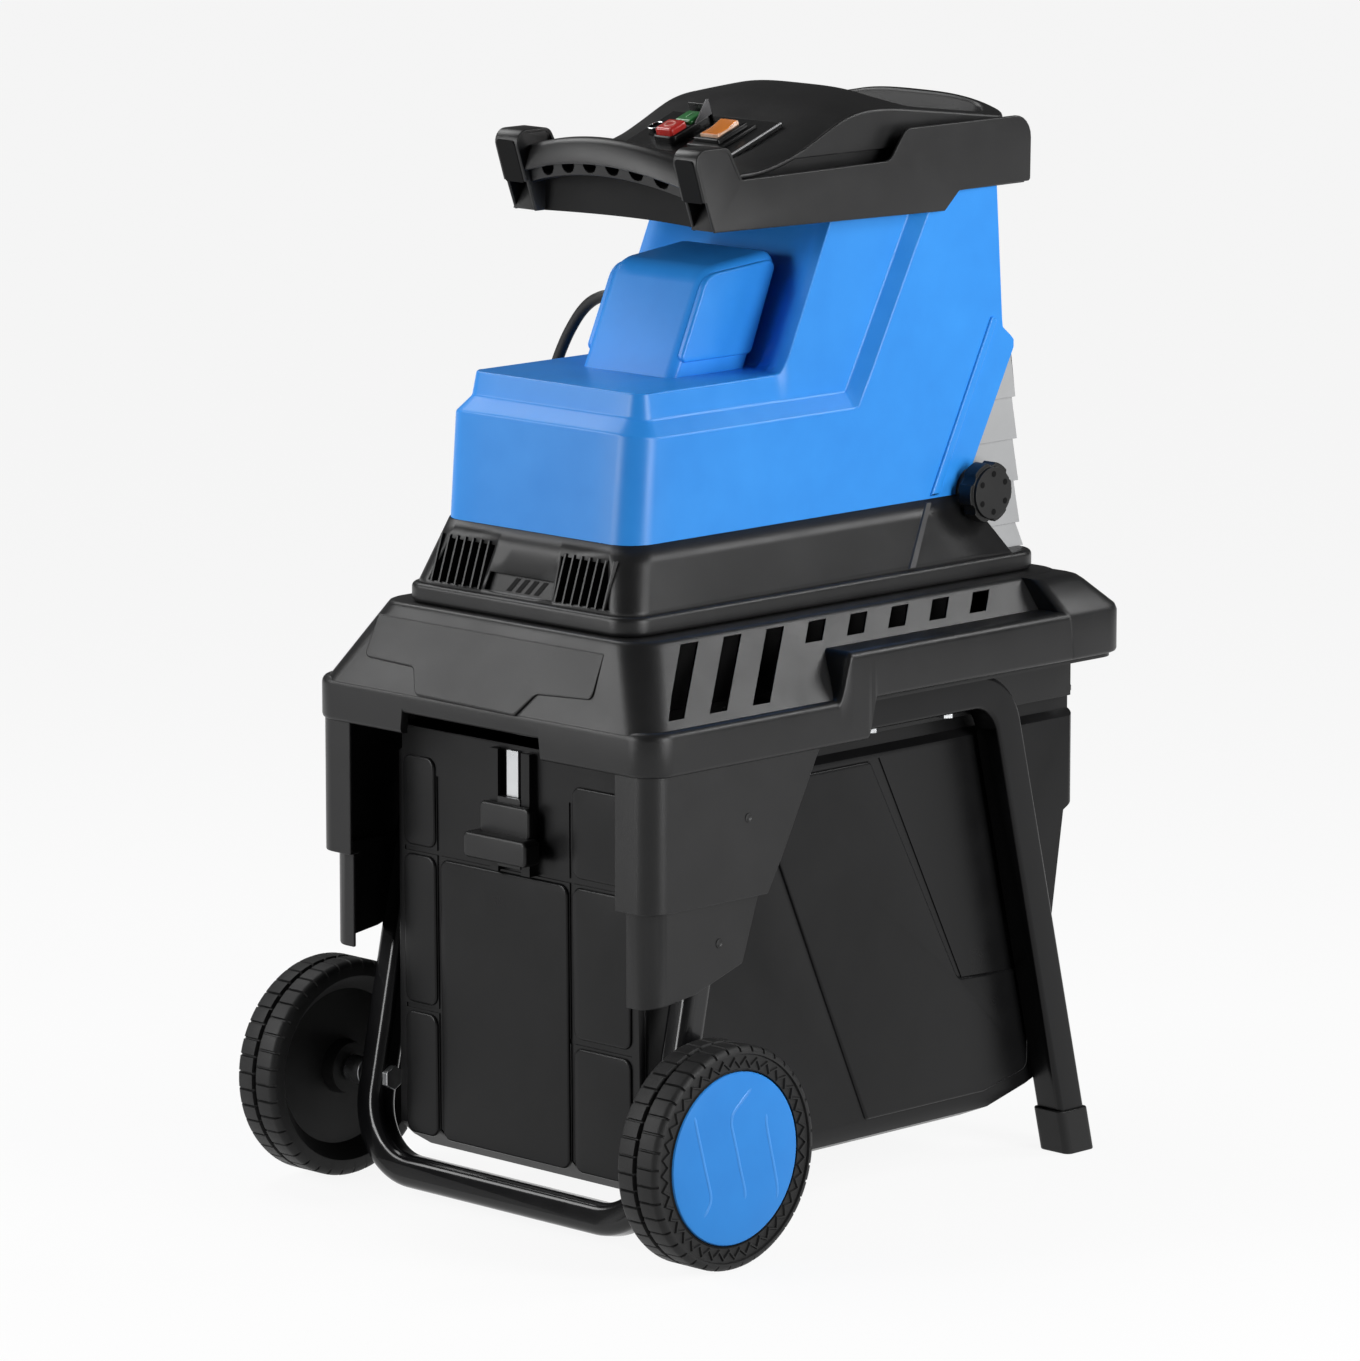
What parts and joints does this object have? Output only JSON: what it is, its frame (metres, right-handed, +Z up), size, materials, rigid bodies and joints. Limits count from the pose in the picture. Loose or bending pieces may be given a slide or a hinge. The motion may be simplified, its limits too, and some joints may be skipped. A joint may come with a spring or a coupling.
{
  "type": "garden shredder",
  "caption": "Electric garden shredder: a blue-hooded roller shredder with a feed hopper and control panel, on a wheeled tube stand round a pull-out collection box.",
  "frame": {"origin": "middle of the ground area that the machine stands on", "axes": "+Z up, -Y towards the wheels, the grip and the lock, +X towards the adjusting knob"},
  "size_m": [0.51, 0.63, 0.9417],
  "materials": {
    "black_plastic": "satin grained moulding",
    "blue_plastic": "satin moulding",
    "grey_plastic": "satin moulding",
    "black_paint": "gloss",
    "tyre": "matt",
    "soft_black": "matt",
    "steel": "zinc plated",
    "cast": "as cast",
    "windings": "varnished",
    "red_plastic": "gloss",
    "green_plastic": "gloss",
    "clear_plastic": "clear",
    "amber_plastic": "translucent"
  },
  "bodies": {
    "stand": {"chassis": "black_plastic", "left_skirt": "black_plastic", "right_skirt": "black_plastic", "box_rails": "black_plastic", "lower_housing": "black_plastic", "hopper": "black_plastic", "feed_chute": "black_plastic", "control_panel": "black_plastic", "switch_bezel": "black_plastic", "rocker_bezel": "black_plastic", "frame_plugs": "black_plastic", "safety_switch": "black_plastic", "capacitor": "black_plastic", "hood": "blue_plastic", "rear_cover": "grey_plastic", "front_frame": "black_paint", "left_leg": "black_paint", "right_leg": "black_paint", "left_foot": "soft_black", "right_foot": "soft_black", "cable_gland": "soft_black", "mains_lead": "soft_black", "mains_plug": "soft_black", "frame_bolts": "steel", "leg_bolts": "steel", "leg_nuts": "steel", "axle_bolts": "steel", "axle_spacers": "steel", "axle_nuts": "steel", "motor_bearings": "steel", "roller_bearings": "steel", "motor_can": "cast", "end_bell": "cast", "gear_case": "cast", "cutter_housing": "cast", "stator": "windings"},
    "left_wheel_unit": {"left_wheel": "tyre", "left_hub_cap": "blue_plastic"},
    "right_wheel_unit": {"right_wheel": "tyre", "right_hub_cap": "blue_plastic"},
    "box_unit": {"collection_box": "black_plastic"},
    "lock_unit": {"lock_slider": "black_plastic", "lock_rod": "steel"},
    "knob_unit": {"adjusting_knob": "black_plastic", "adjusting_screw": "steel"},
    "plate_unit": {"pressure_plate": "cast"},
    "roller_unit": {"cutting_roller": "steel", "roller_shaft": "steel", "roller_gear": "steel"},
    "idler_unit": {"intermediate_shaft": "steel", "intermediate_gear": "steel", "intermediate_pinion": "steel"},
    "rotor_unit": {"rotor": "steel", "motor_shaft": "steel", "cooling_fan": "black_plastic", "motor_pinion": "steel"},
    "start_unit": {"start_button": "green_plastic"},
    "stop_unit": {"stop_button": "red_plastic"},
    "reset_unit": {"reset_button": "clear_plastic"},
    "rocker_unit": {"rocker": "amber_plastic"}
  },
  "joints": [
    {"name": "left_wheel_spin", "type": "hinge", "parent": "stand", "child": "left_wheel_unit", "pos_m": [-0.232, -0.22, 0.095], "axis": [1, 0, 0], "continuous": true},
    {"name": "right_wheel_spin", "type": "hinge", "parent": "stand", "child": "right_wheel_unit", "pos_m": [0.232, -0.22, 0.095], "axis": [1, 0, 0], "continuous": true},
    {"name": "box_pull", "type": "slide", "parent": "stand", "child": "box_unit", "axis": [0, -1, 0], "range_m": [0, 0.6]},
    {"name": "lock_lift", "type": "slide", "parent": "box_unit", "child": "lock_unit", "axis": [0, 0, 1], "range_m": [0, 0.045]},
    {"name": "knob_turn", "type": "hinge", "parent": "stand", "child": "knob_unit", "pos_m": [0.13, 0.212, 0.59], "axis": [1, 0, 0], "range_deg": [0, 540]},
    {"name": "plate_feed", "type": "slide", "parent": "stand", "child": "plate_unit", "axis": [-1, 0, 0], "range_m": [0, 0.0031]},
    {"name": "roller_spin", "type": "hinge", "parent": "stand", "child": "roller_unit", "pos_m": [0, 0.212, 0.59], "axis": [0, 1, 0], "continuous": true},
    {"name": "idler_spin", "type": "hinge", "parent": "stand", "child": "idler_unit", "pos_m": [-0.04243, 0.132, 0.63243], "axis": [0, 1, 0], "continuous": true},
    {"name": "rotor_spin", "type": "hinge", "parent": "stand", "child": "rotor_unit", "pos_m": [0, 0.02, 0.59], "axis": [0, 1, 0], "continuous": true},
    {"name": "start_press", "type": "slide", "parent": "stand", "child": "start_unit", "axis": [0, 0.342, -0.9397], "range_m": [0, 0.003], "stiffness_N_per_m": 400, "springref_m": -0.002},
    {"name": "stop_press", "type": "slide", "parent": "stand", "child": "stop_unit", "axis": [0, 0.342, -0.9397], "range_m": [0, 0.003], "stiffness_N_per_m": 400, "springref_m": -0.002},
    {"name": "reset_press", "type": "slide", "parent": "stand", "child": "reset_unit", "axis": [0, 0.342, -0.9397], "range_m": [0, 0.002], "stiffness_N_per_m": 400, "springref_m": -0.002},
    {"name": "rocker_tip", "type": "hinge", "parent": "stand", "child": "rocker_unit", "pos_m": [0.026, -0.00639, 0.91142], "axis": [1, 0, 0], "range_deg": [-14, 0]}
  ],
  "couplings": [
    {"joint": "plate_feed", "follows": "knob_turn", "m_per_rad": 0.00031831},
    {"joint": "idler_spin", "follows": "roller_spin", "ratio": -3},
    {"joint": "rotor_spin", "follows": "roller_spin", "ratio": 9.8571}
  ]
}
